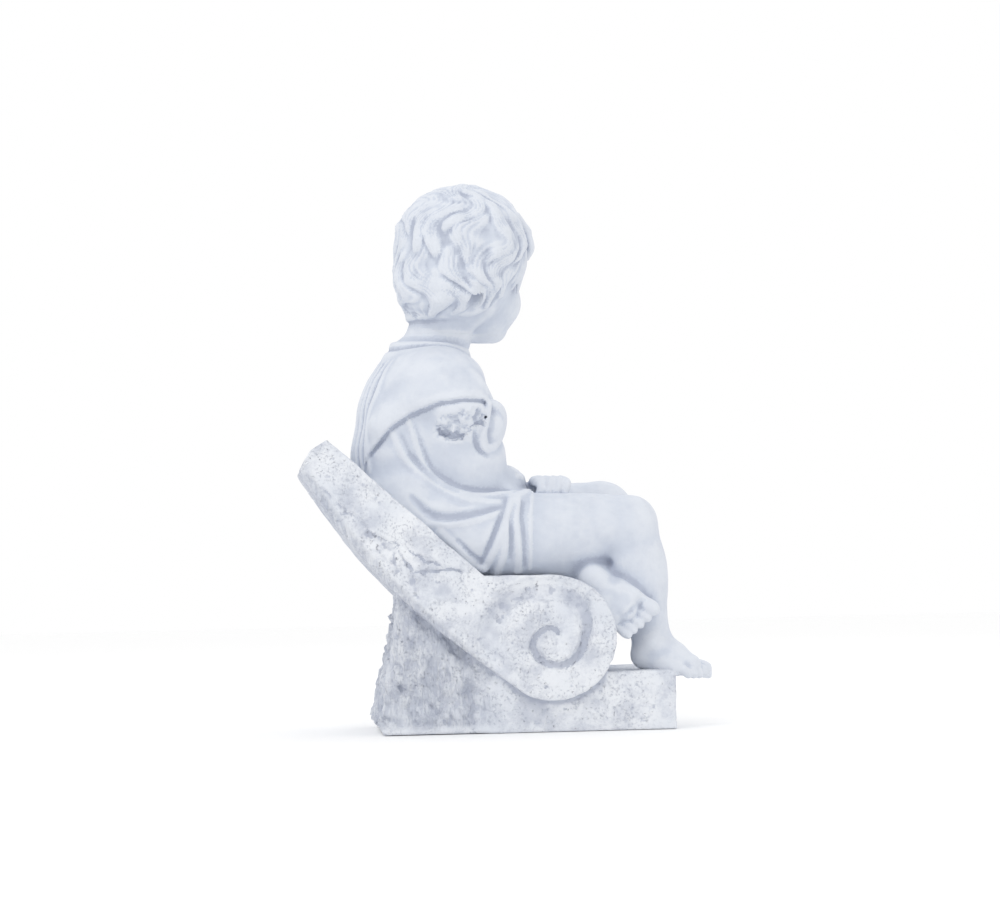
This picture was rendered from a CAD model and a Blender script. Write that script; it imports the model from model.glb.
import math

import bpy
import numpy as np
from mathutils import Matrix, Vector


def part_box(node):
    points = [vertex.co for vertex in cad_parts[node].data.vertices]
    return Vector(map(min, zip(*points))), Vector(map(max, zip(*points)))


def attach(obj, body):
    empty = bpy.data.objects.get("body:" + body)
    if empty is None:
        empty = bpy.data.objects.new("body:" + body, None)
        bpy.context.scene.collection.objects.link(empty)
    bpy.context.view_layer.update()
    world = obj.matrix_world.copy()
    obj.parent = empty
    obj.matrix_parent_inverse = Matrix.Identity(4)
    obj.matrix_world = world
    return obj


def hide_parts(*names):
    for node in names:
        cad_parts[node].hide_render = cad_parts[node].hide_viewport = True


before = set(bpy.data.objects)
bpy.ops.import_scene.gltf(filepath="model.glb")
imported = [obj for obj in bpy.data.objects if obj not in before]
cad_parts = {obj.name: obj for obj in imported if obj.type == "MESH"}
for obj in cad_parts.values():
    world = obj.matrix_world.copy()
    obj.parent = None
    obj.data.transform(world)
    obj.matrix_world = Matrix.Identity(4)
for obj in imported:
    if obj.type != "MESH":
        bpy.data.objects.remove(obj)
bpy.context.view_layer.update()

import openvdb
from mathutils import Matrix, Vector

NODE = "seated_boy_statue"

# Everything is carved in millimetres and set down in metres
MM = 0.001
FAR = 1e6                   # beyond everything, and next to nothing
TINY = 1e-9
BLOCK_LOW, BLOCK_HIGH = (np.array(corner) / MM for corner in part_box(NODE))

# Stonework, from the block's ends
TOE_OVERHANG = 52.7
BASE_FRONT = BLOCK_HIGH[0] - TOE_OVERHANG
BASE_LENGTH = 371.0
BASE_REAR = BASE_FRONT - BASE_LENGTH
BASE_WIDTH = 236.0
BASE_HEIGHT = 73.0
BASE_HEEL = 15.0
BASE_HEEL_RUN = 8.0
CONSOLE_WIDTH = 260.0
VOLUTE_RADIUS = 78.0
VOLUTE_X = BASE_FRONT - 152.0
VOLUTE_Z = BASE_HEIGHT + 43.0
SEAT_Z = VOLUTE_Z + VOLUTE_RADIUS
SEAT_BACK_X = VOLUTE_X - 84.0
PLANK_SLOPE = math.radians(42.0)
PLANK_LENGTH = 257.0
PLANK_END = 51.5
PLANK_ROOT = 89.0
ROCK_LEAN = 32.0
ROCK_FRONT = VOLUTE_X - 62  # where the rock gives way to the base, and over what length
ROCK_FADE = 50

# The figure's own places: millimetres from the seat, and from the middle of the head
FIGURE_X = VOLUTE_X - 53.0
HEAD = (-40.0, 0.0, 400.0)
HEAD_TURN = math.radians(45.0)
HEAD_SPIN = (0, 0, 45)
NECK_JOIN = 308.0
NECK_LAP = 3.0
NAPE = 322.0                # height of the hair's lowest edge

# How finely each piece is carved
AIR = 40.0
MARGIN = 22.0
HEAD_GRAIN = 1.5
BODY_GRAIN = 2.1
STONE_GRAIN = 2.1
BODY_FACES = 190000
STONE_FACES = 190000
FIGURE_CLEAR = 0.3          # how far inside the block's sides the figure stays, and the stonework
STONE_CLEAR = 0.2
NEAR = 12                   # distances from the surface that count for a hollow


def seat(x, y, z):
    return np.array([FIGURE_X + x, y, SEAT_Z + z])


def on_head(forward, left, up):
    """A point of the head along the way that it looks."""
    look_x, look_y = math.cos(HEAD_TURN), math.sin(HEAD_TURN)
    return seat(HEAD[0] + look_x * forward - look_y * left, HEAD[1] + look_y * forward + look_x * left,
                HEAD[2] + up)


HEAD_CENTRE = on_head(-6, 0, 6)


def on_base(x, y, z):
    return np.array([BASE_FRONT + x, y, BASE_HEIGHT + z])


def eased(share):
    share = np.clip(share, 0.0, 1.0)
    return share * share * (3 - 2 * share)


class Rumple:
    """Soft random relief from a lattice of seeded values."""

    def __init__(self, seed, size=24):
        self.size = size
        self.values = np.random.default_rng(seed).uniform(-1, 1, (size, size, size)).astype(np.float32)

    def at(self, x, y, z, scale):
        cells = []
        for part in (x, y, z):
            part = np.asarray(part, np.float32) / scale
            whole = np.floor(part)
            share = part - whole
            cells.append((whole.astype(np.int32) % self.size, share * share * (3 - 2 * share)))
        (ix, fx), (iy, fy), (iz, fz) = cells
        total = 0.0
        for dx in (0, 1):
            weight_x = fx if dx else 1 - fx
            for dy in (0, 1):
                weight_y = fy if dy else 1 - fy
                for dz in (0, 1):
                    weight_z = fz if dz else 1 - fz
                    value = self.values[(ix + dx) % self.size, (iy + dy) % self.size, (iz + dz) % self.size]
                    total = total + weight_x * weight_y * weight_z * value
        return total

    def layered(self, x, y, z, scale, layers=3):
        total, strength = 0.0, 1.0
        for layer in range(layers):
            total = total + strength * self.at(x + 17.3 * layer, y - 9.1 * layer, z + 5.7 * layer, scale)
            scale, strength = scale / 2.1, strength / 2
        return total


class Ball:
    def __init__(self, centre, radii, turn=(0.0, 0.0, 0.0)):
        self.centre = np.array(centre, float)
        self.radii = np.array(radii, float) if np.ndim(radii) else np.full(3, float(radii))
        spin = Matrix.Identity(3)
        for angle, axis in zip(turn, "XYZ"):
            spin = Matrix.Rotation(math.radians(angle), 3, axis) @ spin
        self.spin = np.array(spin)
        reach = np.sqrt(((self.spin * self.radii) ** 2).sum(axis=1))
        self.low, self.high = self.centre - reach, self.centre + reach

    def distance(self, x, y, z):
        x, y, z = x - self.centre[0], y - self.centre[1], z - self.centre[2]
        inner, outer = 0.0, 0.0
        for column, radius in enumerate(self.radii):
            along = x * self.spin[0, column] + y * self.spin[1, column] + z * self.spin[2, column]
            inner = inner + (along / radius) ** 2
            outer = outer + (along / radius ** 2) ** 2
        inner, outer = np.sqrt(inner), np.sqrt(outer) + 1e-6
        return inner * (inner - 1) / outer


def smooth_way(places, steps=6):
    """Closely spaced places on a smooth way through some given ones."""
    places = np.array(places, float)
    points = np.vstack([2 * places[0] - places[1], places, 2 * places[-1] - places[-2]])
    way = []
    for a, b, c, d in zip(points, points[1:], points[2:], points[3:]):
        for step in range(steps):
            t = step / steps
            way.append(0.5 * (2 * b + (c - a) * t + (2 * a - 5 * b + 4 * c - d) * t ** 2
                              + (3 * b - a - 3 * c + d) * t ** 3))
    return np.array(way + [places[-1]])


class Limb:
    """A tapering limb on a smooth way through some places."""

    def __init__(self, places, thick, steps=6):
        way = smooth_way(np.column_stack([np.array(places, float), thick]), steps)
        self.way, self.radii = way[:, :3], way[:, 3]
        largest = self.radii.max()
        self.low, self.high = self.way.min(axis=0) - largest, self.way.max(axis=0) + largest

    def refit(self, axis):
        self.low[axis] = self.way[:, axis].min() - self.radii.max()
        self.high[axis] = self.way[:, axis].max() + self.radii.max()

    def distance(self, x, y, z):
        nearest = None
        for start, end, first, last in zip(self.way[:-1], self.way[1:], self.radii[:-1], self.radii[1:]):
            span = end - start
            length = max(span @ span, TINY)
            dx, dy, dz = x - start[0], y - start[1], z - start[2]
            share = np.clip((dx * span[0] + dy * span[1] + dz * span[2]) / length, 0, 1)
            gap = np.sqrt((dx - share * span[0]) ** 2 + (dy - share * span[1]) ** 2
                          + (dz - share * span[2]) ** 2)
            gap = gap - (first + (last - first) * share)
            nearest = gap if nearest is None else np.minimum(nearest, gap)
        return nearest


class Prism:
    """A flat outline in X and Z, drawn out along Y to a half width that may vary over it."""

    def __init__(self, outline, half_width):
        self.outline = np.array(outline, float)
        self.half_width = half_width
        widest = half_width if np.isscalar(half_width) else CONSOLE_WIDTH / 2
        (low_x, low_z), (high_x, high_z) = self.outline.min(axis=0), self.outline.max(axis=0)
        self.low = np.array([low_x, -widest, low_z])
        self.high = np.array([high_x, widest, high_z])

    def flat_distance(self, x, z):
        """Signed distance from the outline, positive outside."""
        nearest = np.full(np.broadcast(x, z).shape, 1e9)
        inside = np.zeros(nearest.shape, bool)
        for (ax, az), (bx, bz) in zip(self.outline, np.roll(self.outline, -1, axis=0)):
            ex, ez = bx - ax, bz - az
            share = np.clip(((x - ax) * ex + (z - az) * ez) / max(ex * ex + ez * ez, TINY), 0, 1)
            nearest = np.minimum(nearest, (x - ax - share * ex) ** 2 + (z - az - share * ez) ** 2)
            crosses = ((az > z) != (bz > z)) & (x < ax + (z - az) * ex / (ez if ez else TINY))
            inside ^= crosses
        return np.where(inside, -1, 1) * np.sqrt(nearest)

    def distance(self, x, y, z):
        flat = self.flat_distance(x, z)
        wide = self.half_width if np.isscalar(self.half_width) else self.half_width(x, z)
        side = np.abs(y) - wide
        return soft_max(flat + 0 * y, side + 0 * x, 3.0)


def soft_min(a, b, soft):
    mix = np.maximum(soft - np.abs(a - b), 0) / soft
    return np.minimum(a, b) - mix * mix * soft / 4


def soft_max(a, b, soft):
    return -soft_min(-a, -b, soft)


class Carving:
    """Stone in the making: distances to its surface on a grid, positive in the air."""

    def __init__(self, low, high, grain):
        self.low, self.grain = np.array(low, float), grain
        counts = np.ceil((np.array(high) - self.low) / grain).astype(int) + 1
        self.axes = [self.low[side] + grain * np.arange(counts[side]) for side in range(3)]
        self.field = np.full(counts, AIR, np.float32)

    def window(self, low, high):
        """The stretch of the grid in a box and its coordinates, or nothing where they miss each other."""
        spans, lines = [], []
        for side, axis in enumerate(self.axes):
            first = int(np.searchsorted(axis, low[side] - MARGIN))
            last = int(np.searchsorted(axis, high[side] + MARGIN))
            if last <= first:
                return None
            spans.append(slice(first, last))
            shape = [1, 1, 1]
            shape[side] = last - first
            lines.append(axis[first:last].astype(np.float32).reshape(shape))
        return tuple(spans), lines

    def add(self, form, soft=6.0):
        found = self.window(form.low, form.high)
        if found:
            spans, (x, y, z) = found
            self.field[spans] = soft_min(self.field[spans], form.distance(x, y, z), soft)

    def cut(self, form, soft=4.0):
        found = self.window(form.low, form.high)
        if found:
            spans, (x, y, z) = found
            self.field[spans] = soft_max(self.field[spans], -form.distance(x, y, z), soft)

    def ball(self, centre, radii, soft, turn=(0.0, 0.0, 0.0)):
        self.add(Ball(centre, radii, turn), soft)

    def dent(self, centre, radii, soft, turn=(0.0, 0.0, 0.0)):
        self.cut(Ball(centre, radii, turn), soft)

    def limb(self, places, thick, soft, steps=6, at=seat):
        """Adds a limb through places that are counted from the seat or the head."""
        self.add(Limb([at(*place) for place in places], thick, steps), soft)

    def channel(self, places, thick, soft, at=seat):
        self.cut(Limb([at(*place) for place in places], thick), soft)

    def on_skin(self, places, axis, side):
        """The places moved along an axis onto the surface that is met when coming in from one side."""
        places = np.array(places, float)
        counts = np.array(self.field.shape) - 1
        for place in places:
            cell = list(np.clip(((place - self.low) / self.grain).round().astype(int), 0, counts))
            cell[axis] = slice(None)
            column = self.field[tuple(cell)]
            solid = column < 0
            ends = solid[1:-1] & ~(solid[:-2] if side < 0 else solid[2:])
            ends = np.flatnonzero(ends) + 1
            if len(ends):
                first = ends[np.abs(self.axes[axis][ends] - place[axis]).argmin()]
                share = column[first] / min(column[first] - column[first + side], -1e-6)
                place[axis] = self.axes[axis][first] + side * self.grain * min(share, 1.0)
        for _ in range(2):
            inner = (places[:-2, axis] + 2 * places[1:-1, axis] + places[2:, axis]) / 4
            places[1:-1, axis] = inner
        return places

    def holds(self, form):
        """Whether the middle line of a form lies within the grid."""
        return all(axis[0] < line.min() and line.max() < axis[-1]
                   for axis, line in zip(self.axes, form.way.T))

    def rub(self, times):
        """Rubs the surface smooth."""
        for _ in range(times):
            for side in range(3):
                part = np.moveaxis(self.field, side, 0)
                part[1:-1] = (part[:-2] + 2 * part[1:-1] + part[2:]) / 4

    def fold(self, places, thick, soft=5.0, axis=1, side=-1, sunk=0.3, steps=5):
        """A ridge of cloth laid on the surface; sunk is the share of its thickness below the skin."""
        ridge = Limb(places, thick, steps)
        if not self.holds(ridge):
            return
        ridge.way = self.on_skin(ridge.way, axis, side)
        ridge.way[:, axis] -= side * ridge.radii * sunk
        ridge.refit(axis)
        self.add(ridge, soft)

    def crease(self, places, wide, deep, soft=3.0, axis=1, side=-1, steps=5):
        """A groove of some half width and depth, cut into the surface and run out at both ends."""
        groove = Limb(places, wide, steps)
        if not self.holds(groove):
            return
        groove.way = self.on_skin(groove.way, axis, side)
        run = np.sin(math.pi * np.linspace(0.06, 0.94, len(groove.way))) ** 0.6
        groove.way[:, axis] += side * (groove.radii - deep * run)
        groove.refit(axis)
        self.cut(groove, soft)

    def keep(self, low, high):
        """Cuts away all that lies outside a box."""
        for side, axis in enumerate(self.axes):
            shape = [1, 1, 1]
            shape[side] = -1
            line = axis.astype(np.float32).reshape(shape)
            self.field = np.maximum(self.field, np.maximum(low[side] - line, line - high[side]))

    def press(self, relief, low, high):
        """Raises or sinks the surface in a box by a relief that is worked out from the place."""
        found = self.window(np.array(low) + MARGIN, np.array(high) - MARGIN)
        if found:
            spans, (x, y, z) = found
            self.field[spans] -= relief(x, y, z)

    def hollow(self, points):
        """How much each point lies in a hollow: the air around it is little."""
        blurred = self.field.clip(-NEAR, NEAR)
        for reach in (1, 2, 3):
            for side in range(3):
                blurred = (np.roll(blurred, reach, side) + 2 * blurred + np.roll(blurred, -reach, side)) / 4
        cells = ((points - self.low) / self.grain).round().astype(int)
        cells = np.clip(cells, 0, np.array(self.field.shape) - 1)
        picked = tuple(cells.T)
        return (self.field.clip(-NEAR, NEAR)[picked] - blurred[picked]) / self.grain

    def mesh(self, name, faces=None, hewn=None):
        """The carved surface as an object, thinned to a number of triangles and marked for its finish."""
        grid = openvdb.FloatGrid()
        grid.background = AIR
        grid.copyFromArray(np.pad(self.field, 1, constant_values=AIR).astype(np.float32))
        points, quads = grid.convertToQuads(isovalue=0.0)
        points = (points - 1) * self.grain + self.low
        mesh = bpy.data.meshes.new(name)
        mesh.vertices.add(len(points))
        mesh.vertices.foreach_set("co", (points * MM).astype(np.float32).ravel())
        mesh.loops.add(quads.size)
        mesh.loops.foreach_set("vertex_index", quads[:, ::-1].astype(np.int32).ravel())
        mesh.polygons.add(len(quads))
        mesh.polygons.foreach_set("loop_start", np.arange(0, quads.size, 4, dtype=np.int32))
        mesh.update(calc_edges=True)
        mesh.validate()
        crease = mesh.attributes.new("hollow", "FLOAT", "POINT")
        crease.data.foreach_set("value", self.hollow(points).astype(np.float32))
        if hewn:
            rough = mesh.attributes.new("hewn", "FLOAT", "POINT")
            rough.data.foreach_set("value", hewn(points[:, 0], points[:, 2]).astype(np.float32))
        mesh.shade_smooth()
        piece = bpy.data.objects.new(name, mesh)
        bpy.context.scene.collection.objects.link(piece)
        if faces and 2 * len(quads) > faces:
            thin = piece.modifiers.new("thin", "DECIMATE")
            thin.ratio = faces / (2 * len(quads))
            bpy.context.view_layer.update()
            evaluated = piece.evaluated_get(bpy.context.evaluated_depsgraph_get())
            thinned = bpy.data.meshes.new_from_object(evaluated)
            piece.modifiers.clear()
            piece.data = thinned
            thinned.name = name
            thinned.shade_smooth()
        return piece


grain_of_stone = Rumple(11)
weather = Rumple(23)


# The figure

def carve_torso(stone):
    stone.ball(seat(-62, 0, 60), (76, 88, 62), 16)
    for side in (-1, 1):
        stone.ball(seat(-42, side * 50, 48), (58, 46, 50), 16)
    stone.ball(seat(-44, 0, 112), (77, 80, 36), 10, (0, -4, 0))
    stone.ball(seat(-70, 0, 162), (72, 80, 36), 8, (0, -6, 0))
    stone.ball(seat(-84, 0, 205), (80, 85, 62), 14)
    stone.ball(seat(-86, 0, 236), (68, 93, 50), 16)
    for side in (-1, 1):
        stone.ball(seat(-46, side * 34, 214), (34, 36, 26), 16)
        stone.dent(seat(-6, side * 36, 204), 1.6, 4)
        stone.limb([(-52, side * 10, 268), (-62, side * 52, 276), (-86, side * 84, 268)], (5, 5, 6), 14)
    stone.channel([(-30, -76, 142), (-4, -44, 137), (3, 0, 135), (-4, 44, 137), (-30, 76, 142)],
                  (2, 3, 3, 3, 2), 9)
    stone.channel([(-16, -66, 176), (2, -26, 172), (2, 26, 172), (-16, 66, 176)], (1, 2, 2, 1), 9)
    stone.dent(seat(33, 0, 118), (6, 4, 4), 6)
    stone.channel([(-44, -96, 138), (-22, -90, 132), (-2, -66, 138)], (1.5, 3, 1.5), 8)


def carve_neck(stone):
    stone.limb([(-90, 0, 258), (-78, 0, 292), (-62, 0, 345)], (52, 42, 40), 14)
    for side in (-1, 1):
        tendon = [on_head(-4, side * 40, -62), seat(-52, side * 22 + 8, 300), seat(-44, side * 10, 272)]
        stone.add(Limb(tendon, (8, 6, 5)), 12)
    stone.dent(seat(-38, 0, 277), (6, 9, 6), 9)


def carve_face(stone):
    stone.ball(on_head(22, 0, 2), (52, 58, 54), 12, HEAD_SPIN)
    stone.ball(on_head(26, 0, -40), (44, 50, 56), 14, HEAD_SPIN)
    stone.ball(on_head(34, 0, -76), (32, 33, 26), 14, HEAD_SPIN)
    stone.ball(on_head(55, 0, -88), (13, 14, 12), 12, HEAD_SPIN)
    stone.limb([(70, 0, -24), (75, 0, -38), (80, 0, -49)], (4.5, 5, 6.5), 8, at=on_head)
    for side in (-1, 1):
        stone.ball(on_head(46, side * 26, -54), (22, 21, 23), 14, HEAD_SPIN)
        stone.dent(on_head(76, side * 20, -31), (11, 12, 8), 8, HEAD_SPIN)
        stone.ball(on_head(57, side * 19.5, -32), 10.5, 2.5)
        stone.limb([(66, side * 9, -33), (67.5, side * 19, -26), (58, side * 31, -33)], (1.6, 2.2, 1.6),
                   2.5, at=on_head)
        stone.limb([(65, side * 9, -34), (65, side * 19, -39.5), (57, side * 30, -34)], (1.3, 1.7, 1.2), 3,
                   at=on_head)
        stone.limb([(70, side * 7, -21), (68, side * 20, -17), (56, side * 35, -23)], (3, 3.6, 2.6), 9,
                   at=on_head)
        stone.ball(on_head(74, side * 7, -51), (5.5, 4.5, 4.5), 4)
        stone.dent(on_head(77, side * 4.2, -55.5), (2.6, 1.8, 1.6), 2)
        stone.dent(on_head(66, side * 15, -68.5), (3, 3, 2.2), 5)
    stone.ball(on_head(66, 0, -66), (9, 17, 9), 9, HEAD_SPIN)
    lips = ((-1, -65.5, 3.0), (1, -71.5, 3.4))
    for bow, up, thick in lips:
        stone.limb([(66, -14, -68.5), (73, -5, up), (73.6, 0, up + 0.8 * bow), (73, 5, up),
                    (66, 14, -68.5)], (1.2, thick, thick - 0.3, thick, 1.2), 2.5, at=on_head)
    stone.channel([(68, -14, -68.4), (78, 0, -68.8), (68, 14, -68.4)], (0.8, 0.9, 0.8), 1.8, at=on_head)
    stone.channel([(78, 0, -56), (77.5, 0, -62)], (1.1, 1.6), 3, at=on_head)
    stone.dent(on_head(74, 0, -78), (5, 9, 3), 6, HEAD_SPIN)
    for side in (-1, 1):
        rim = [on_head(8, side * 59, -18), on_head(-4, side * 64, -16), on_head(-9, side * 64, -30),
               on_head(-2, side * 62, -46)]
        stone.add(Limb(rim, (3, 4, 3.6, 4)), 3)
        stone.ball(on_head(0, side * 57, -32), (8, 5, 14), 4)


def hair_place(x, y, z):
    """A place over the hair: around from the face to the left, down from the crown, and how far out."""
    x, y, z = x - HEAD_CENTRE[0], y - HEAD_CENTRE[1], z - HEAD_CENTRE[2]
    look_x, look_y = math.cos(HEAD_TURN), math.sin(HEAD_TURN)
    forward, left = x * look_x + y * look_y, y * look_x - x * look_y
    out = np.sqrt(forward ** 2 + left ** 2 + z ** 2) + 1e-6
    return np.arctan2(left, forward), np.arccos(np.clip(z / out, -1, 1)), out


# Rows of locks from the crown down: how many, where they start and end, their half width and height
LOCK_ROWS = (
    (9, 0.00, 1.00, 20.0, 3.6),
    (12, 0.46, 1.42, 20.0, 4.2),
    (14, 0.90, 1.84, 19.0, 4.6),
    (14, 1.32, 2.26, 18.5, 4.8),
    (14, 1.74, 2.62, 16.0, 4.4),
)
LOCK_REACH = 84.0


def hair_flow(around, down):
    """How far the combed hair is swept aside, in radians around the head."""
    return (0.20 * np.sin(4.2 * down + 1.6 * np.sin(2 * around + 0.6))
            + 0.08 * np.sin(9.0 * down + 3.0 * np.cos(around - 0.8))) / np.maximum(np.sin(down), 0.4)


def lock_relief(x, y, z):
    """How high the locks stand over the hair: broad wavy locks with grooved strands, row over row."""
    around, down, _ = hair_place(x, y, z)
    girth = np.maximum(np.sin(down), 0.22) * LOCK_REACH
    around = around + hair_flow(around, down)
    draw = np.random.default_rng(9)
    height = -1.6 + 0.4 * np.cos(around * 34) * np.minimum(down, 1)
    for row, (count, start, end, wide, high) in enumerate(LOCK_ROWS):
        for number in range(count):
            middle = math.tau * (number + 0.5 * (row % 2)) / count + draw.uniform(-0.08, 0.08)
            first = start + draw.uniform(-0.12, 0.12)
            last = end + draw.uniform(-0.16, 0.16)
            bend = draw.uniform(2.0, 6.0)
            phase = draw.uniform(0, math.tau)
            curl = draw.choice((-1, 1)) * draw.uniform(4.0, 15.0)
            half = wide * draw.uniform(0.8, 1.15)
            lean = draw.choice((-1, 1)) * draw.uniform(0.8, 2.0)
            lifted = high * draw.uniform(0.8, 1.25)
            strands = draw.choice((2.5, 3.0, 3.5))
            share = (down - first) / (last - first)
            inside = np.clip(share, 0, 1)
            swing = bend * np.sin(5.0 * inside + phase) + curl * np.clip(inside - 0.55, 0, 1) ** 2 * 5
            across = (around - middle + math.pi) % math.tau - math.pi
            across = across * girth - swing
            taper = half * (np.sin(math.pi * (0.20 + 0.80 * inside)) ** 0.9)
            side = across / np.maximum(taper, 0.5)
            round_over = np.sqrt(np.clip(1 - side * side, 0, 1))
            swell = np.clip(share * 4, 0, 1) * np.clip((1 - share) * 5, 0, 1)
            grooves = 0.60 * np.cos(math.tau * strands * side + 1.2 * np.sin(6 * inside + phase))
            crown = lifted * (0.50 + 0.60 * inside) * (1 - 0.3 * side * side)
            body = crown + (lean * side + grooves) * eased(inside * 3)
            lock = -1.6 + (body + 1.6) * round_over ** 0.7 * eased(swell)
            height = soft_max(height, lock, 2.0)
    return height


def hair_mask(x, y, z):
    """1 over the hair, 0 over the face and below the hairline."""
    around, down, out = hair_place(x, y, z)
    front = np.cos(around)
    line = 2.62 - 1.16 * eased((front + 0.35) / 1.1)
    nape = SEAT_Z + NAPE + 16 * eased((front + 0.7) / 0.8)
    return eased((line - down) / 0.14 + 0.5) * eased((out - 52) / 12) * eased((z - nape) / 5)


def carve_hair(stone):
    """The skull with its locks, then the face and what hangs round it."""
    stone.ball(on_head(-7, 0, 15), (82, 81, 82), 8, HEAD_SPIN)
    stone.ball(on_head(-22, 0, -22), (66, 71, 60), 14, HEAD_SPIN)
    stone.ball(on_head(-32, 0, -38), (54, 60, 38), 6, HEAD_SPIN)
    stone.dent(on_head(82, 0, -44), (44, 46, 58), 5, HEAD_SPIN)
    near = (np.abs(stone.field) < 14) & (stone.axes[2] > SEAT_Z + NAPE - 6)
    spots = np.nonzero(near)
    x, y, z = (stone.axes[side][spots[side]] for side in range(3))
    mass = 3.6 * weather.layered(x, y, z, 27.0, 2) + 1.0
    stone.field[spots] -= (lock_relief(x, y, z) + mass) * hair_mask(x, y, z)
    stone.channel([(-27, -74, 362), (-31, -70, 346), (-38, -66, 322)], (4, 8, 9), 7)
    carve_face(stone)
    for number, around in enumerate((-0.62, -0.38, -0.12, 0.14, 0.40, 0.64)):
        sway = (-1) ** number * 6
        root = on_head(58 * math.cos(around), 74 * math.sin(around), 58)
        middle = on_head(80 * math.cos(around), 82 * math.sin(around) + sway, 40)
        low = on_head(82 * math.cos(around), 80 * math.sin(around) - sway * 0.6, 18)
        tip = on_head(74 * math.cos(around), 76 * math.sin(around) - sway * 1.8, 4)
        for strand in (-1, 0, 1):
            shift = np.array([-math.sin(HEAD_TURN), math.cos(HEAD_TURN), 0.0]) * strand * 6.5
            stone.add(Limb([root + shift, middle + shift * 1.15, low + shift * 0.9, tip + shift * 0.15],
                           (5, 7 - abs(strand), 6 - abs(strand), 2.5), 4), 2.5)
    for side in (-1, 1):
        stone.dent(on_head(14, side * 80, -46), (17, 17, 22), 6, HEAD_SPIN)
        for strand in range(3):
            ahead = 36 - 7 * strand
            stone.limb([(ahead + 2, side * 66, 10), (ahead + 1, side * 67, -8), (ahead - 3, side * 64, -26),
                        (ahead - 2 - 3 * strand, side * 59, -42 + 5 * strand)], (6, 5, 4, 1.8), 2, steps=4,
                        at=on_head)


def carve_arms(stone):
    """The right arm ends in a break under the sleeve; the left reaches across to the thighs."""
    stone.limb([(-84, -72, 236), (-58, -86, 208), (-52, -88, 196)], (40, 38, 31), 10)
    stone.ball(seat(-78, -48, 178), (58, 51, 62), 14)
    stone.ball(seat(-46, -58, 148), (50, 39, 48), 18)
    stone.limb([(-86, 80, 240), (-92, 97, 190), (-82, 98, 138)], (36, 31, 27), 12)
    stone.limb([(-82, 98, 134), (-26, 78, 112), (28, 26, 97)], (27, 23, 13), 8)
    stone.channel([(-60, 122, 150), (-52, 98, 156), (-62, 84, 158)], (1.5, 2.0, 1.0), 5)


def carve_hand(stone):
    stone.limb([(30, 22, 98), (44, 8, 107), (56, -4, 112)], (12, 12, 11), 6)
    stone.ball(seat(56, -2, 112), (19, 19, 10.5), 6, (0, 4, -28))
    for finger in range(4):
        shift = 10.5 * finger
        length = (0, 3, 2, -3)[finger]
        stone.limb([(48 + shift * 0.92, -8, 119), (51 + shift, -24 - length, 118 - 0.8 * finger),
                    (49 + shift, -38 - length, 108), (45 + shift, -44 - length, 99)], (6.6, 6.2, 5.6, 4.6),
                    2)
    stone.limb([(46, 2, 114), (43, -16, 118), (45, -30, 116)], (7.5, 7, 5.6), 3)


def carve_foot(stone, heel, forward, up, big, splay, drop):
    """Heel, instep and toes: their way, up off the sole, the big toe's side, the spread and the drop."""
    def place(ahead, side, rise):
        return heel + forward * ahead + big * side + up * rise
    stone.add(Limb([place(20, 0, 20), place(50, -1 - splay * 0.3, 19), place(76, 1 - splay * 0.4, 15)],
                   (20 - splay * 0.2, 20, 15)), 10)
    stone.add(Limb([place(48, -9 - splay * 0.7, 13), place(71 - 2 * drop, -13 - splay, 12)], (14, 11)), 8)
    stone.add(Limb([place(54, 10, 15), place(70, 13, 12.5)], (14, 12.5)), 8)
    stone.add(Limb([place(26, 0, 38), place(54, 2, 28)], (20, 14)), 12)
    stone.dent(place(46, 27, -3), (18, 12, 8), 10)
    for toe in range(5):
        side = 18 - (11 + splay / 4) * toe + 0.6 * toe * toe
        reach = 104 - drop * toe - (2 if toe == 0 else 0)
        size = 1.36 if toe == 0 else 1.02 - 0.045 * toe
        thick = [part * size for part in (6.4, 6.0, 7.4, 6.0)]
        stone.limb([(reach - 30, side * 0.94, 12), (reach - 17, side, 14), (reach - 6, side, 10.5),
                    (reach - 1, side, 7)], thick, 1.2, at=place)
        stone.cut(Limb([place(reach - 23, side - 5, 0), place(reach - 20, side + 5, 1)], (3, 3.4)), 2.5)


def carve_legs(stone):
    stone.limb([(-40, -52, 54), (52, -57, 53), (118, -59, 58), (152, -59, 57)], (52, 49, 42, 37), 12)
    stone.limb([(-4, -57, 44), (50, -57, 42), (90, -58, 45)], (46, 45, 41), 12)
    stone.limb([(56, -57, 20), (94, -60, 6)], (24, 20), 10)
    stone.limb([(-10, 57, 44), (44, 58, 46)], (46, 42), 12)
    stone.ball(seat(160, -59, 64), (31, 32, 31), 14)
    stone.add(Limb([seat(154, -59, 50), seat(168, -60, 8), on_base(-31, -61, 72), on_base(-23, -62, 40)],
                   (36, 36, 29, 23)), 10)
    stone.ball(seat(150, -60, 6), (22, 30, 34), 12, (0, -14, 0))
    stone.channel([(118, -102, 18), (128, -84, 14), (132, -54, 12)], (2, 3.5, 3), 7)
    stone.add(Limb([on_base(-24, -84, 34), on_base(-20, -82, 30)], (8, 7)), 10)
    stone.limb([(-40, 52, 56), (60, 58, 68), (128, 62, 76)], (52, 48, 41), 12)
    stone.ball(seat(142, 61, 79), (35, 35, 36), 14)
    stone.limb([(138, 58, 68), (130, 22, 34), (114, -30, 6), (110, -70, -10)], (36, 36, 30, 21), 8)


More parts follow.
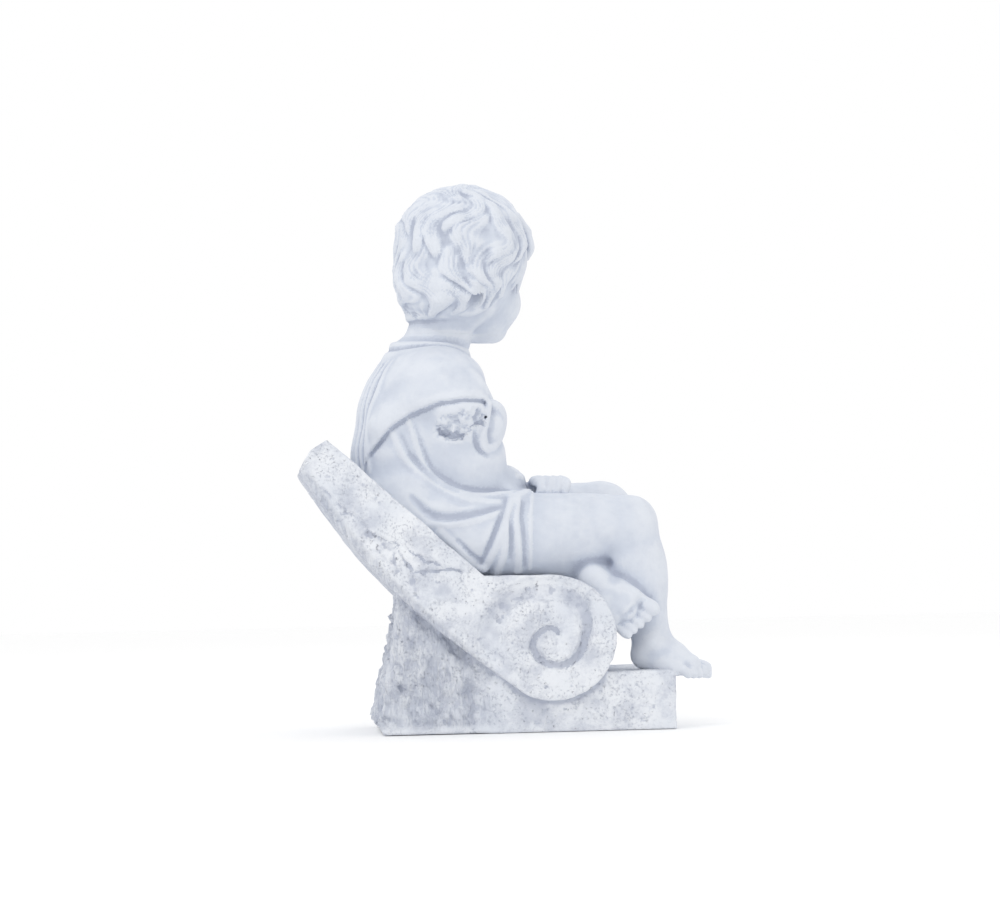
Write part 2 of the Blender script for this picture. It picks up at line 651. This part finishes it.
def carve_feet(stone):
    """The right foot stands over the base's front edge; the left is crossed behind the right leg."""
    ahead = np.array([0.965, -0.15, -0.175])
    ahead /= np.linalg.norm(ahead)
    side = np.array([0.14, 0.98, 0.14])
    side -= ahead * (side @ ahead)
    side /= np.linalg.norm(side)
    carve_foot(stone, on_base(-54, -60, 2), ahead, np.cross(ahead, side), side, 4, 6.5)
    ahead = np.array([0.755, 0.0, -0.655])
    up, side = np.array([0.0, 1.0, 0.0]), np.array([0.655, 0.0, 0.755])
    carve_foot(stone, seat(92, -112, 6), ahead, up, side, 10, 1.6)


def carve_cloak(stone):
    """The cloak over the right shoulder and the back, under the arm and across the hips and the lap."""
    stone.ball(seat(-104, -4, 188), (75, 96, 86), 12, (0, -18, 0))
    stone.ball(seat(-130, -2, 158), (59, 90, 50), 12, (0, -16, 0))
    stone.ball(seat(-120, 0, 112), (74, 97, 68), 12, (0, -42, 0))
    stone.ball(seat(-95, 0, 228), (69, 92, 66), 12)
    stone.ball(seat(-100, 0, 270), (44, 58, 30), 14, (0, 6, 0))
    stone.ball(seat(-90, 58, 238), (58, 46, 44), 12, (-18, 0, 0))
    stone.limb([(-112, -56, 92), (-52, -58, 58), (4, -58, 52)], (46, 52, 52), 16)
    stone.limb([(-112, 56, 92), (-52, 58, 58), (4, 58, 56)], (46, 52, 52), 16)
    stone.limb([(2, -62, 104), (14, -20, 104), (14, 24, 106), (2, 66, 104)], (8, 9, 9, 8), 12)


def beside(line, y):
    """Places on the near side from a line of X and Z, for laying on the skin."""
    return [seat(x, y, z) for x, z in line]


HEM_X = (-176, -171, -159, -143, -118, -80, -53, -29, -17, -8)
HEM_Z = (132, 150, 166, 185, 202, 216, 219, 218, 212, 204)


def hem_relief(x, y, z):
    """The cloak's edge over the right arm: cloth that stands out, with a shadowed gap under it."""
    hem = SEAT_Z + np.interp(x - FIGURE_X, HEM_X, HEM_Z)
    over = (z - hem) * np.interp(x - FIGURE_X, (-171, -143, -100, -40), (0.62, 0.75, 0.92, 1.0))
    over = over + 0.8 * weather.at(x, y, z, 18.0)
    near = eased((-y - 48) / 22) * eased((FIGURE_X - 2 - x) / 14)
    cloth = 4.6 * eased(over / 2.4) * np.exp(-np.maximum(over, 0) / 34)
    gap = 2.6 * eased(1 - np.abs(over + 2.6) / 3.4)
    return near * (cloth - gap)


def carve_sleeve(stone):
    """The cap of cloth over the right shoulder, its hem and the fold that hangs by the broken arm."""
    stone.ball(seat(-82, -60, 243), (60, 53, 44), 12, (24, 0, 0))
    stone.limb([(-150, -74, 188), (-118, -88, 214), (-80, -94, 228), (-44, -88, 230)], (14, 15, 15, 14), 16)
    stone.press(hem_relief, seat(-176, -150, 130), seat(0, -40, 300))
    for line in (((-60, -84, 262), (-40, -92, 244), (-24, -90, 228)),
                 ((-120, -84, 244), (-98, -96, 232), (-70, -104, 224))):
        stone.limb(line, (3, 5, 3), 12)
    stone.ball(seat(-17, -76, 186), (18, 20, 29), 6)
    stone.limb([(-28, -92, 216), (-8, -84, 209), (-2, -76, 194), (-5, -76, 177), (-14, -84, 162),
                (-23, -90, 158)], (7, 7.5, 6.5, 6, 6.5, 6), 3)
    stone.limb([(-20, -102, 214), (-22, -101, 196), (-28, -98, 176), (-26, -92, 160)], (4.5, 4.5, 5.5, 6),
               2.5)
    stone.channel([(-12, -104, 200), (-12, -103, 187), (-15, -100, 172)], (5, 6.5, 3.5), 3)
    stone.crease([seat(-32, -100, 206), seat(-35, -100, 190), seat(-38, -100, 174), seat(-34, -100, 158),
                  seat(-22, -100, 148)], (2.6, 3.4, 3.4, 3.2, 2.4), 3.4, 2)


def carve_collar(stone):
    """The rolled edge of the cloak round the neck, run out down the back."""
    ring = []
    for step in range(15):
        angle = math.radians(-10 - 340 * step / 14)
        ring.append(seat(-85 + 48 * math.cos(angle), 50 * math.sin(angle), 290))
    stone.fold(ring, (3.4,) * 15, 5, axis=2, side=1, sunk=0.3, steps=3)
    outer = [place + (place - seat(-85, 0, 290)) * np.array([0.16, 0.16, 0]) for place in ring]
    stone.crease(outer, (2.6,) * 15, 2.2, 3, axis=2, side=1, steps=3)


def carve_back(stone):
    """Long narrow folds that run from the collar down to the seat's back, closer on the right."""
    for number, start in enumerate((-30, -45, -58, -8, 18, 42, 60)):
        spread = 1.32 - 0.0035 * abs(start)
        wave = 5 * math.sin(1.9 * number)
        line = [(start * 0.86, 270), (start + wave * 0.4, 244), (start * spread * 0.92, 206 + wave),
                (start * spread + wave * 0.5, 172), (start * spread * 1.02, 134)]
        ridge = [seat(-150, y, z) for y, z in line]
        stone.fold(ridge, (1.5, 3.2, 4.0, 4.2, 2.5), 5, axis=0, side=-1, sunk=0.4)
        beneath = [place + np.array([0, 7.5, -2]) for place in ridge]
        stone.crease(beneath, (2.4, 3.2, 3.6, 3.8, 2.8), 1.8, 4, axis=0, side=-1)


# Folds on the right side: X and Z of each line, how thick it is along the way, and how far it is sunk
SIDE_FOLDS = (
    (((-122, 206), (-113, 176), (-99, 136), (-70, 110), (-40, 99), (13, 102)),
     (2.0, 2.2, 3.2, 5, 6, 3.5), 0.35),
    (((-140, 184), (-126, 150), (-92, 118), (-52, 95), (-10, 90)), (2.5, 4, 5.5, 6.5, 3.5), 0.5),
    (((-98, 66), (-62, 67), (-34, 70), (-6, 80)), (4, 4.5, 4, 3), 0.5),
    (((6, 99), (-2, 74), (-10, 48), (-21, 24), (-30, 9)), (3.4, 3.8, 4.2, 5, 5), 0.2),
    (((-30, 9), (-46, 17), (-63, 36), (-84, 56)), (4.5, 4.5, 4, 2.5), 0.3),
    (((34, 104), (14, 97), (5, 84), (-1, 58), (-4, 32), (-13, 4)), (5, 5, 4.6, 4.4, 4.8, 5), 0.2),
    (((16, 92), (10, 72), (12, 50), (15, 30), (13, 6)), (3.5, 4.2, 4.6, 5, 5), 0.4),
)
SIDE_CREASES = (
    (((-118, 98), (-100, 80), (-77, 74), (-46, 78), (-8, 86)), (6, 8, 9, 7, 4), 4.2),
    (((0, 97), (-7, 76), (-16, 54), (-26, 31), (-33, 17)), (2.2, 2.6, 3.0, 3.2, 3.2), 3.8),
    (((-33, 18), (-46, 28), (-62, 44)), (3.0, 2.8, 2.2), 2.6),
    (((-117, 200), (-108, 174), (-93, 138), (-66, 115), (-32, 106), (4, 107)),
     (1.6, 1.8, 2.2, 2.6, 2.6, 2.0), 1.6),
    (((-130, 176), (-114, 146), (-84, 118), (-60, 106)), (2.6, 3.2, 3.4, 2.4), 1.6),
    (((10, 88), (4, 66), (4, 44), (3, 20)), (2.0, 2.2, 2.4, 2.4), 2.4),
    (((21, 92), (18, 70), (20, 46), (21, 10)), (2.4, 2.6, 3.0, 2.8), 2.2),
)


def carve_folds(stone):
    for line, thick, sunk in SIDE_FOLDS:
        stone.fold(beside(line, -100), thick, 5, sunk=sunk)
    for line, wide, deep in SIDE_CREASES:
        stone.crease(beside(line, -100), wide, deep, 3)
    cuff = [(35, 103), (31, 87), (28.5, 66), (28, 40), (28, 8)]
    stone.fold(beside(cuff, -105), (2.2, 2.6, 2.8, 2.8, 2.6), 1.5, sunk=0.2)
    for lap in range(3):
        x = 24 + 16 * lap
        stone.fold([seat(x - 6, -44, 106), seat(x + 4, -16, 100), seat(x + 2, 20, 100), seat(x - 8, 50, 106)],
                   (2, 4, 4, 2.5), 5, axis=2, side=1, sunk=0.5)
    for fold in range(4):
        shift = 13 * fold
        line = [(6 + shift * 0.5, 92), (-4 + shift * 0.6, 62), (-8 + shift * 0.7, 10)]
        stone.fold([seat(x, 105, z) for x, z in line], (4, 4.5, 5), 5, axis=1, side=1)
    for band in range(4):
        drop = 26 * band
        line = [(-150 + drop * 0.4, 168 - drop), (-104, 128 - drop * 0.8),
                (-50, 104 - drop * 0.7), (4, 96 - drop * 0.4)]
        stone.fold([seat(x, 105, z) for x, z in line], (4, 5, 5.5, 4), 5, axis=1, side=1)
        stone.crease([seat(x + 2, 105, z - 10) for x, z in line], (3, 4, 4, 3), 2.4, 4, axis=1, side=1)


BREAK_X, BREAK_Z = -56.0, 190.0


def break_relief(x, y, z):
    """Rough stone where the right arm is broken off."""
    along = (x - seat(BREAK_X, 0, 0)[0]) * 0.93 + (z - seat(0, 0, BREAK_Z)[2]) * 0.36
    across = (z - seat(0, 0, BREAK_Z)[2]) * 0.93 - (x - seat(BREAK_X, 0, 0)[0]) * 0.36
    ragged = 0.30 * weather.layered(x, y, z, 13.0, 3)
    inside = eased(5.0 * (1 - np.sqrt((along / 34) ** 2 + (across / 17) ** 2) + ragged))
    rough = np.abs(weather.layered(x, y, z, 11.0, 4))
    shelf = np.floor(across / 7.0 + 1.2 * weather.at(x, y, z, 16.0)) * 1.4
    return inside * eased((-y - 62) / 10) * (6.0 * rough + shelf - 5.5)


def figure_relief(x, y, z):
    """The slight unevenness of hand-worked stone."""
    return 0.45 * weather.layered(x, y, z, 26.0, 2) + 0.16 * grain_of_stone.at(x, y, z, 5.0)


def carve_figure(stone):
    carve_torso(stone)
    carve_neck(stone)
    carve_cloak(stone)
    carve_arms(stone)
    carve_legs(stone)
    stone.rub(3)
    carve_hand(stone)
    carve_feet(stone)
    carve_hair(stone)
    carve_folds(stone)
    carve_sleeve(stone)
    carve_collar(stone)
    carve_back(stone)
    stone.press(break_relief, seat(-95, -150, 160), seat(-10, -50, 226))
    stone.press(figure_relief, BLOCK_LOW - MARGIN, BLOCK_HIGH + MARGIN)


def boy_head():
    stone = Carving(seat(-146, -104, NECK_JOIN - 8), seat(70, 104, 512), HEAD_GRAIN)
    carve_figure(stone)
    low = (-FAR, -FAR, SEAT_Z + NECK_JOIN - NECK_LAP)
    stone.keep(low, (BLOCK_HIGH[0], FAR, BLOCK_HIGH[2] - FIGURE_CLEAR))
    return stone.mesh("boy_head")


def boy_body():
    high = (BLOCK_HIGH[0] + 6, BLOCK_HIGH[1] + 6, SEAT_Z + NECK_JOIN + 8)
    stone = Carving((BLOCK_LOW[0] + 30, BLOCK_LOW[1] - 6, BASE_HEIGHT - 16), high, BODY_GRAIN)
    carve_figure(stone)
    low = (BLOCK_LOW[0], BLOCK_LOW[1] + FIGURE_CLEAR, 0)
    high = (BLOCK_HIGH[0] - FIGURE_CLEAR, BLOCK_HIGH[1] - FIGURE_CLEAR, SEAT_Z + NECK_JOIN)
    stone.keep(low, high)
    return stone.mesh("boy_body", BODY_FACES)


# The stonework

def plank_thickness(share):
    """How thick the plank is, from its root to its end."""
    return PLANK_END + (PLANK_ROOT - PLANK_END) * np.cos(math.pi / 2 * np.clip(share, 0, 1) ** 1.2)


def plank_under(share):
    """A point on the plank's lower edge, from its root to its end."""
    thick = plank_thickness(share)
    return (SEAT_BACK_X - PLANK_LENGTH * share * math.cos(PLANK_SLOPE) - thick * math.sin(PLANK_SLOPE),
            SEAT_Z + PLANK_LENGTH * share * math.sin(PLANK_SLOPE) - thick * math.cos(PLANK_SLOPE))


def console_outline():
    outline = [(SEAT_BACK_X, SEAT_Z)]
    steps = 48
    last = -math.pi / 2 - PLANK_SLOPE
    for step in range(steps + 1):
        angle = math.pi / 2 + (last - math.pi / 2) * step / steps
        outline.append((VOLUTE_X + VOLUTE_RADIUS * math.cos(angle),
                        VOLUTE_Z + VOLUTE_RADIUS * math.sin(angle)))
    outline += [plank_under(step / 14) for step in range(15)]
    tip = (SEAT_BACK_X - PLANK_LENGTH * math.cos(PLANK_SLOPE), SEAT_Z + PLANK_LENGTH * math.sin(PLANK_SLOPE))
    outline.append((tip[0] - 20.5, tip[1] - 13.5))
    outline.append(tip)
    return outline


SCROLL_START = math.radians(213.0)
SCROLL_ANGLES = (0, 63, 123, 182, 215, 290, 371, 416, 470, 540)
SCROLL_RADII = (86, 73, 60, 47, 38, 34.5, 29, 18, 12, 7)
SCROLL_WIDTHS = (18, 17, 16, 12, 8, 6.5, 6, 5.5, 5, 3)


def scroll_depth(x, z):
    """The spiral channel that winds into the volute."""
    dx, dz = x - VOLUTE_X, z - VOLUTE_Z
    radius = np.sqrt(dx * dx + dz * dz)
    depth = 0.0
    wound = np.degrees((SCROLL_START - np.arctan2(dz, dx)) % math.tau)
    for turn in range(2):
        turned = wound + 360 * turn
        middle = np.interp(turned, SCROLL_ANGLES, SCROLL_RADII)
        wide = np.interp(turned, SCROLL_ANGLES, SCROLL_WIDTHS)
        across = np.clip(1 - ((radius - middle) / wide) ** 2, 0, 1)
        deep = np.interp(turned, (0, 40, 200, 540), (3.0, 8.5, 6.5, 4.5)) * (turned < 540)
        depth = np.maximum(depth, deep * across ** 0.75)
    return depth


def along_plank(x, z):
    """How far a place is up the plank's slope from its root, and how far below its top face."""
    along = (SEAT_BACK_X - x) * math.cos(PLANK_SLOPE) + (z - SEAT_Z) * math.sin(PLANK_SLOPE)
    down = (SEAT_BACK_X - x) * math.sin(PLANK_SLOPE) + (SEAT_Z - z) * math.cos(PLANK_SLOPE)
    return along, down


# Cracks round a flake in the near side of the plank: X and Z from the seat
CRACKS = (
    ((-142, 43), (-125, 33), (-104, 20), (-84, 14), (-60, 5)),
    ((-141, 38), (-131, 21), (-119, 6), (-99, 7), (-74, 9)),
)


def crack_depth(x, z):
    """How deep the cracks round the flake go."""
    deep = 0.0
    for line in CRACKS:
        for (ax, az), (bx, bz) in zip(line, line[1:]):
            ax, bx, az, bz = FIGURE_X + ax, FIGURE_X + bx, SEAT_Z + az, SEAT_Z + bz
            length = (bx - ax) ** 2 + (bz - az) ** 2
            share = np.clip(((x - ax) * (bx - ax) + (z - az) * (bz - az)) / length, 0, 1)
            gap = np.hypot(x - ax - share * (bx - ax), z - az - share * (bz - az))
            deep = np.maximum(deep, np.clip(1 - gap / 3.4, 0, 1))
    return deep


def side_half_width(x, z):
    """Half the console's width over its side: the scroll, the sunk lower band and its broken patch."""
    flat = 0 * x + 0 * z
    along, down = along_plank(x, z)
    ragged = 2.0 * weather.layered(x, flat, z, 15.0, 3)
    edge = 48 - 6 * eased(1 - np.abs(along - 108) / 26) + 30 * eased((80 - along) / 50) + ragged
    band = eased((down - edge) / 2.2) * eased((along - 22) / 40)
    rough = np.maximum(0, grain_of_stone.layered(x, flat, z, 6.5, 2)) * 1.6
    cracks = crack_depth(x + 2.0 * weather.at(x, flat, z, 6.0), z + 2.0 * weather.at(z, flat, x, 6.0))
    depth = np.maximum(scroll_depth(x, z), (2.8 + rough) * band)
    return CONSOLE_WIDTH / 2 - np.maximum(depth, 4.5 * cracks * (0.7 + 0.6 * weather.at(x, flat, z, 9.0)))


def rock_outline():
    rear = [(BASE_REAR - 1 + ROCK_LEAN * share ** 1.3, BASE_HEEL + (SEAT_Z - 30 - BASE_HEEL) * share)
            for share in (0, 0.2, 0.4, 0.6, 0.8, 1.0)]
    under = [plank_under(share) for share in (0.30, 0.15, 0.0)]
    return ([(BASE_REAR + BASE_HEEL_RUN, 0)] + rear + [(x + 8, z + 10) for x, z in under]
            + [(VOLUTE_X - 30, BASE_HEIGHT - 20), (VOLUTE_X - 10, 0)])


def rock_half_width(x, z):
    """The rock swells a little towards its foot and sinks behind the base's face in front."""
    return 112 + 5 * (1 - eased((z - 10) / 90)) - 3 * eased((x - VOLUTE_X + 70) / 40)


def slab_half_width(x, z):
    """The base's side, let into the rock behind."""
    return BASE_WIDTH / 2 - 18 * eased((ROCK_FRONT - x) / ROCK_FADE) + 0 * z


def hewn_share(x, z):
    """Where the stone is rough-hewn: the rock under the plank, but not its foot and its front."""
    along, down = along_plank(x, z)
    clear = eased((down - plank_thickness(along / PLANK_LENGTH) + 12) / 8)
    return eased((ROCK_FRONT - x) / ROCK_FADE) * eased((z - 4) / 10) * clear


def rock_relief(x, y, z):
    """Chisel work over the rock: slanting broken strokes on broad facets."""
    across, along = x * 0.78 + z * 0.62, (z * 0.78 - x * 0.62) * 0.34
    strokes = 2 * np.abs(grain_of_stone.at(across, y, along, 10.0)) - 0.7
    scores = 2 * np.abs(weather.at(across * 0.9, y, along * 1.3, 5.2)) - 0.7
    broken = 0.35 + 0.65 * eased(0.5 + 1.4 * weather.at(x, y, z, 19.0))
    facets = weather.layered(x, y * 0.9, z * 0.8, 32.0, 2)
    chips = np.abs(grain_of_stone.layered(x, y, z, 14.0, 3)) - 0.3
    cuts = (4.2 * strokes + 1.2 * scores) * broken
    return hewn_share(x, z) * (6.0 * facets + cuts + 4.0 * chips - 3.0) - 0.4


def stone_relief(x, y, z):
    """Pits and worn unevenness over all of the stonework, none under the foot of the base."""
    wear = 1.3 * weather.layered(x, y, z, 26.0, 3)
    pitted = np.maximum(0, grain_of_stone.at(x, y, z, 5.5) - 0.55) * 4.0
    return (wear * 0.6 - pitted - 0.3) * eased((z - 1) / 5)


def stonework():
    stone = Carving(BLOCK_LOW - 8, (BLOCK_HIGH[0], BLOCK_HIGH[1] + 8, SEAT_Z + PLANK_LENGTH), STONE_GRAIN)
    stone.add(Prism(rock_outline(), rock_half_width), 3)
    stone.press(rock_relief, BLOCK_LOW, BLOCK_HIGH)
    rear = VOLUTE_X - 120
    slab = [(rear, 0), (BASE_FRONT, 0), (BASE_FRONT, BASE_HEIGHT), (rear, BASE_HEIGHT)]
    stone.add(Prism(slab, slab_half_width), 4)
    stone.add(Prism(console_outline(), side_half_width), 3)
    stone.press(stone_relief, BLOCK_LOW - MARGIN, BLOCK_HIGH + MARGIN)
    low = (BLOCK_LOW[0] + STONE_CLEAR, BLOCK_LOW[1] + STONE_CLEAR, 0.0)
    stone.keep(low, (BASE_FRONT, BLOCK_HIGH[1] - STONE_CLEAR, FAR))
    return stone.mesh("console_and_base", STONE_FACES, hewn_share)


# Finishes

class Wire:
    """A shader socket that takes part in plain sums."""

    def __init__(self, shader, socket):
        self.shader, self.socket = shader, socket

    def sum(self, operation, *parts):
        return self.shader.node("ShaderNodeMath", {"operation": operation}, dict(enumerate(parts)))

    def __add__(self, other):
        return self.sum("ADD", self, other)

    def __sub__(self, other):
        return self.sum("SUBTRACT", self, other)

    def __rsub__(self, other):
        return self.sum("SUBTRACT", other, self)

    def __mul__(self, other):
        return self.sum("MULTIPLY", self, other)

    def __pow__(self, other):
        return self.sum("POWER", self, other)

    __radd__, __rmul__ = __add__, __mul__

    def between(self, low, high):
        """0 below low, 1 above high and a smooth rise between them."""
        return self.shader.node("ShaderNodeMapRange", {"interpolation_type": "SMOOTHSTEP"},
                                {"Value": self, "From Min": low, "From Max": high})


class Finish:
    """A material and its nodes."""

    def __init__(self, name):
        self.material = bpy.data.materials.new(name)
        self.material.use_nodes = True
        self.tree = self.material.node_tree
        self.surface = self.tree.nodes["Principled BSDF"]

    def node(self, kind, settings=None, sockets=None, output=0):
        made = self.tree.nodes.new(kind)
        for name, value in (settings or {}).items():
            setattr(made, name, value)
        for name, value in (sockets or {}).items():
            self.feed(made.inputs[name], value)
        return Wire(self, made.outputs[output])

    def feed(self, socket, value):
        if isinstance(value, Wire):
            self.tree.links.new(value.socket, socket)
        else:
            socket.default_value = value

    def mix(self, share, first, second):
        return self.node("ShaderNodeMix", {"data_type": "RGBA"}, {0: share, 6: first, 7: second}, 2)

    def noise(self, scale, detail=3.0, rough=0.55, distortion=0.0):
        place = self.node("ShaderNodeTexCoord", output=3)
        return self.node("ShaderNodeTexNoise", {}, {"Vector": place, "Scale": scale, "Detail": detail,
                                                    "Roughness": rough, "Distortion": distortion})

    def strokes(self, turn, scale):
        """Noise drawn out into strokes: turned about the axes and scaled along each."""
        place = self.node("ShaderNodeTexCoord", output=3)
        turned = self.node("ShaderNodeMapping", {}, {"Vector": place, "Rotation": turn, "Scale": scale})
        return self.node("ShaderNodeTexNoise", {}, {"Vector": turned, "Scale": 1.0, "Detail": 4.0,
                                                    "Roughness": 0.6, "Distortion": 0.8})

    def bumps(self, height, strength, distance, under=None):
        sockets = {"Height": height, "Strength": strength, "Distance": distance}
        if under:
            sockets["Normal"] = under
        return self.node("ShaderNodeBump", {}, sockets)


WHITE_STONE = (0.612, 0.655, 0.738, 1.0)
WORN_STONE = (0.710, 0.742, 0.800, 1.0)
CHALKY_STONE = (0.800, 0.822, 0.860, 1.0)
HOLLOW_WASH = (0.370, 0.405, 0.505, 1.0)
PIT_WASH = (0.235, 0.262, 0.345, 1.0)


def smooth_stone():
    """The figure: rubbed smooth, a grey-blue wash left in its creases."""
    finish = Finish("smooth_white_stone")
    hollow = finish.node("ShaderNodeAttribute", {"attribute_name": "hollow"}, output=2)
    cloud = finish.noise(9.0, 4.0)
    crease = (hollow + cloud * 0.20 - 0.10).between(0.0, 0.85)
    worn = (cloud * 0.4 - hollow).between(0.10, 0.6)
    colour = finish.mix(worn, WHITE_STONE, WORN_STONE)
    cloudy = finish.noise(30.0, 7.0, 0.7).between(0.40, 0.66)
    colour = finish.mix(cloudy * 0.12, colour, HOLLOW_WASH)
    colour = finish.mix(crease * 0.65, colour, HOLLOW_WASH)
    specks = finish.noise(420.0, 2.0).between(0.70, 0.80)
    colour = finish.mix(specks * 0.22, colour, HOLLOW_WASH)
    finish.feed(finish.surface.inputs["Base Color"], colour)
    finish.feed(finish.surface.inputs["Roughness"], 0.72 + cloud * 0.18)
    finish.surface.inputs["Specular IOR Level"].default_value = 0.35
    finish.feed(finish.surface.inputs["Normal"], finish.bumps(finish.noise(260.0, 4.0), 0.25, 0.0006))
    return finish.material


def pitted_stone():
    """The console, rock and base: open-grained, pitted and speckled."""
    finish = Finish("pitted_white_stone")
    hollow = finish.node("ShaderNodeAttribute", {"attribute_name": "hollow"}, output=2)
    hewn = finish.node("ShaderNodeAttribute", {"attribute_name": "hewn"}, output=2)
    cloud = finish.noise(11.0, 4.0)
    patches = finish.noise(38.0, 4.0, 0.6)
    tooled = finish.strokes((0.0, 0.62, 0.0), (150.0, 60.0, 34.0)) * 0.6
    tooled = tooled + finish.strokes((0.0, -0.35, 0.0), (300.0, 110.0, 80.0)) * 0.4
    scored = (0.56 - tooled).between(0.0, 0.13) * hewn
    pits = finish.noise(300.0, 4.0, 0.7).between(0.52, 0.66) * patches.between(0.38, 0.60)
    large_pits = finish.noise(170.0, 4.0, 0.7).between(0.62, 0.70) * cloud.between(0.35, 0.6)
    crease = (hollow + patches * 0.24 - 0.12).between(0.04, 0.62)
    colour = finish.mix(cloud.between(0.35, 0.6), WORN_STONE, CHALKY_STONE)
    stain = finish.noise(24.0, 8.0, 0.72).between(0.42, 0.66)
    colour = finish.mix(stain * 0.50, colour, HOLLOW_WASH)
    colour = finish.mix(crease * (0.62 - hewn * 0.34), colour, HOLLOW_WASH)
    colour = finish.mix(hewn * 0.16, colour, HOLLOW_WASH)
    colour = finish.mix(scored * 0.42, colour, HOLLOW_WASH)
    colour = finish.mix(pits * 0.55, colour, HOLLOW_WASH)
    colour = finish.mix(large_pits * 0.50, colour, PIT_WASH)
    finish.feed(finish.surface.inputs["Base Color"], colour)
    finish.feed(finish.surface.inputs["Roughness"], 0.82 + patches * 0.14)
    finish.surface.inputs["Specular IOR Level"].default_value = 0.30
    chiselled = finish.bumps(tooled * hewn, 0.9, 0.0050)
    fine = finish.bumps(1.0 - pits, 0.55, 0.0009, chiselled)
    finish.feed(finish.surface.inputs["Normal"], finish.bumps(1.0 - large_pits, 0.8, 0.0016, fine))
    return finish.material


# The room

def plain(name, colour, rough):
    finish = Finish(name)
    finish.surface.inputs["Base Color"].default_value = colour
    finish.surface.inputs["Roughness"].default_value = rough
    return finish.material


def pale_floor():
    mesh = bpy.data.meshes.new("floor")
    half = 6.0
    corners = [(-half, -half, 0), (half, -half, 0), (half, half, 0), (-half, half, 0)]
    mesh.from_pydata(corners, [], [(0, 1, 2, 3)])
    floor = bpy.data.objects.new("floor", mesh)
    bpy.context.scene.collection.objects.link(floor)
    floor.location.z = -0.0005
    mesh.materials.append(plain("pale_floor", (0.985, 0.985, 0.985, 1.0), 1.0))


def soft_light(name, place, size, power, target=(0.0, 0.0, 0.35)):
    light = bpy.data.lights.new(name, "AREA")
    light.shape = "DISK"
    light.size = size
    light.energy = power
    lamp = bpy.data.objects.new(name, light)
    bpy.context.scene.collection.objects.link(lamp)
    lamp.location = place
    lamp.rotation_euler = (Vector(target) - Vector(place)).to_track_quat("-Z", "Y").to_euler()


def studio():
    world = bpy.data.worlds.new("studio")
    bpy.context.scene.world = world
    world.use_nodes = True
    sky = world.node_tree.nodes["Background"]
    sky.inputs["Color"].default_value = (1.0, 1.0, 1.0, 1.0)
    sky.inputs["Strength"].default_value = 1.0
    soft_light("key_light", (-0.9, -1.5, 2.6), 0.8, 10)
    soft_light("back_light", (0.6, 2.0, 2.2), 1.4, 5)


PHOTO_DISTANCE = 3.825
PHOTO_FOCUS = 3.0           # focal length over the picture's width
PHOTO_AZIMUTH = math.radians(4.5)
PHOTO_ELEVATION = math.radians(-2.0)
PHOTO_ROLL = math.radians(1.2)
SENSOR_WIDTH = 36.0
PHOTO_TARGET = Vector((0.0004, 0.0, 0.350))


def photo_camera():
    data = bpy.data.cameras.new("photo_camera")
    data.sensor_width = SENSOR_WIDTH
    data.lens = SENSOR_WIDTH * PHOTO_FOCUS
    camera = bpy.data.objects.new("photo_camera", data)
    bpy.context.scene.collection.objects.link(camera)
    back = Vector((-math.sin(PHOTO_AZIMUTH) * math.cos(PHOTO_ELEVATION),
                   -math.cos(PHOTO_AZIMUTH) * math.cos(PHOTO_ELEVATION), math.sin(PHOTO_ELEVATION)))
    aim = (-back).to_track_quat("-Z", "Y").to_matrix().to_4x4()
    roll = Matrix.Rotation(-PHOTO_ROLL, 4, "Z")
    camera.matrix_world = Matrix.Translation(PHOTO_TARGET + back * PHOTO_DISTANCE) @ aim @ roll
    bpy.context.scene.camera = camera


def set_down(piece, material):
    piece.data.materials.clear()
    piece.data.materials.append(material)
    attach(piece, "root")
    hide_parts(NODE)


figure_finish = smooth_stone()
set_down(stonework(), pitted_stone())
set_down(boy_body(), figure_finish)
set_down(boy_head(), figure_finish)
pale_floor()
studio()
photo_camera()
bpy.context.scene.view_settings.view_transform = "Standard"
